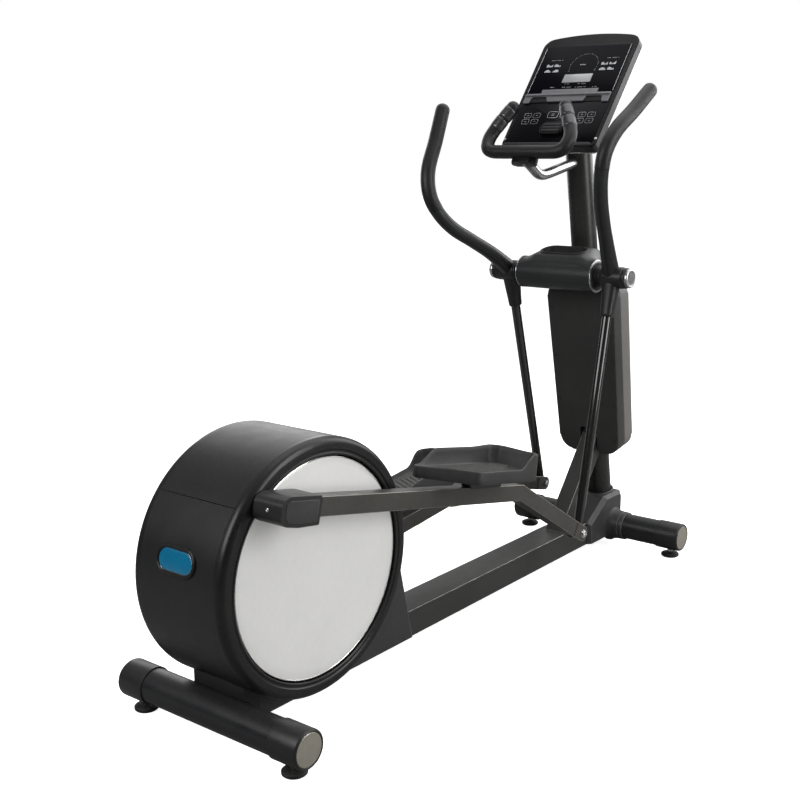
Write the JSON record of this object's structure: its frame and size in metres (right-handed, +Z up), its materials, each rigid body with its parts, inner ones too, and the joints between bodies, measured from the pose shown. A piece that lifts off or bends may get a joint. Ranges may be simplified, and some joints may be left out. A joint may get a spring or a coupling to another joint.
{
  "type": "elliptical trainer",
  "caption": "Rear-drive elliptical trainer: disc-faced drum, crank-driven foot links with pedals, swing arms, mast, console and fixed grip bar on a floor frame.",
  "frame": {"origin": "centre of the footprint, on the floor under the levelling feet", "axes": "+Z up, +Y from the drum to the console (the way the user faces), +X to the user's right"},
  "size_m": [0.6514, 1.9175, 1.6973],
  "materials": {
    "aluminium": "brushed aluminium",
    "badge": "blue glossy insert",
    "black_plastic": "satin moulded black plastic",
    "board": "green circuit board laminate",
    "cast_iron": "machined cast iron",
    "console_gloss": "gloss black front panel",
    "disc_coat": "pale warm-grey satin disc",
    "display": "grey liquid-crystal window",
    "foam": "matte closed-cell foam grip",
    "frame_paint": "fine satin black-graphite powder coat",
    "gloss_tube": "gloss black enamel on steel tube",
    "grey_plastic": "satin mid-grey moulded plastic",
    "rubber": "moulded rubber",
    "silver": "satin silver",
    "steel": "machined steel"
  },
  "bodies": {
    "frame": {"axle_end_caps": "aluminium", "badge_bezel": "black_plastic", "badge_plate": "badge", "beam_fairing": "black_plastic", "circuit_board": "board", "console_face_plate": "console_gloss", "console_rear_shell": "black_plastic", "display_window": "display", "drive_bearings": "steel", "drive_belt": "rubber", "drive_frame": "frame_paint", "drum_cover_lower": "black_plastic", "drum_cover_upper": "black_plastic", "drum_rims": "black_plastic", "end_cap_inserts": "aluminium", "fixed_grip_bar": "foam", "front_base_cover": "black_plastic", "front_stabilizer_tube": "frame_paint", "grip_support": "silver", "lower_mast": "frame_paint", "magnetic_brake": "steel", "main_beam": "frame_paint", "mast_brace": "frame_paint", "pivot_axle": "steel", "pivot_housing": "black_plastic", "pivot_spacers": "black_plastic", "pulse_sensors": "silver", "rack_and_pod": "grey_plastic", "rear_stabilizer_tube": "frame_paint", "shroud_front_half": "grey_plastic", "shroud_rear_half": "black_plastic", "shroud_screws": "steel", "stabilizer_end_caps": "black_plastic", "upper_mast": "frame_paint"},
    "swing_right": {"upper_arm_right": "frame_paint", "lower_arm_right": "gloss_tube", "hand_grip_right": "foam"},
    "swing_left": {"upper_arm_left": "frame_paint", "lower_arm_left": "gloss_tube", "hand_grip_left": "foam"},
    "foot_link_right_body": {"foot_link_right": "frame_paint", "lower_pivot_bolt_right": "steel", "pin_hub_cover_right": "black_plastic", "crank_pin_right": "steel", "pedal_right": "black_plastic"},
    "foot_link_left_body": {"foot_link_left": "frame_paint", "lower_pivot_bolt_left": "steel", "pin_hub_cover_left": "black_plastic", "crank_pin_left": "steel", "pedal_left": "black_plastic"},
    "crank": {"crank_axle": "steel", "crank_arms": "frame_paint", "crank_discs": "disc_coat", "drive_pulley": "aluminium"},
    "flywheel_assembly": {"flywheel_shaft": "steel", "flywheel": "cast_iron"},
    "foot_rear_right": {"levelling_foot_rear_right": "rubber"},
    "foot_rear_left": {"levelling_foot_rear_left": "rubber"},
    "foot_front_right": {"levelling_foot_front_right": "rubber"},
    "foot_front_left": {"levelling_foot_front_left": "rubber"}
  },
  "joints": [
    {"name": "right_arm_swing", "type": "hinge", "parent": "frame", "child": "swing_right", "pos_m": [0.187, 0.6147, 0.9586], "axis": [1, 0, 0], "range_deg": [-3.6, 33.9]},
    {"name": "left_arm_swing", "type": "hinge", "parent": "frame", "child": "swing_left", "pos_m": [-0.187, 0.6147, 0.9586], "axis": [1, 0, 0], "range_deg": [-31.3, 3.5]},
    {"name": "right_link_pivot", "type": "hinge", "parent": "swing_right", "child": "foot_link_right_body", "pos_m": [0.187, 0.4436, 0.18684], "axis": [1, 0, 0], "range_deg": [-22.5, 2.5]},
    {"name": "left_link_pivot", "type": "hinge", "parent": "swing_left", "child": "foot_link_left_body", "pos_m": [-0.187, 0.8193, 0.19504], "axis": [1, 0, 0], "range_deg": [-2.5, 21]},
    {"name": "crank_spin", "type": "hinge", "parent": "frame", "child": "crank", "pos_m": [0, -0.6405, 0.3842], "axis": [1, 0, 0], "continuous": true},
    {"name": "flywheel_spin", "type": "hinge", "parent": "frame", "child": "flywheel_assembly", "pos_m": [0, -0.47749, 0.42484], "axis": [1, 0, 0], "continuous": true},
    {"name": "level_rear_right", "type": "slide", "parent": "frame", "child": "foot_rear_right", "axis": [0, 0, 1], "range_m": [-0.012, 0]},
    {"name": "level_rear_left", "type": "slide", "parent": "frame", "child": "foot_rear_left", "axis": [0, 0, 1], "range_m": [-0.012, 0]},
    {"name": "level_front_right", "type": "slide", "parent": "frame", "child": "foot_front_right", "axis": [0, 0, 1], "range_m": [-0.012, 0]},
    {"name": "level_front_left", "type": "slide", "parent": "frame", "child": "foot_front_left", "axis": [0, 0, 1], "range_m": [-0.012, 0]}
  ],
  "couplings": [
    {"joint": "left_arm_swing", "follows": "right_arm_swing", "ratio": -0.917},
    {"joint": "right_link_pivot", "follows": "right_arm_swing", "ratio": -0.657},
    {"joint": "left_link_pivot", "follows": "right_arm_swing", "ratio": 0.611},
    {"joint": "flywheel_spin", "follows": "crank_spin", "ratio": 5.2083}
  ]
}
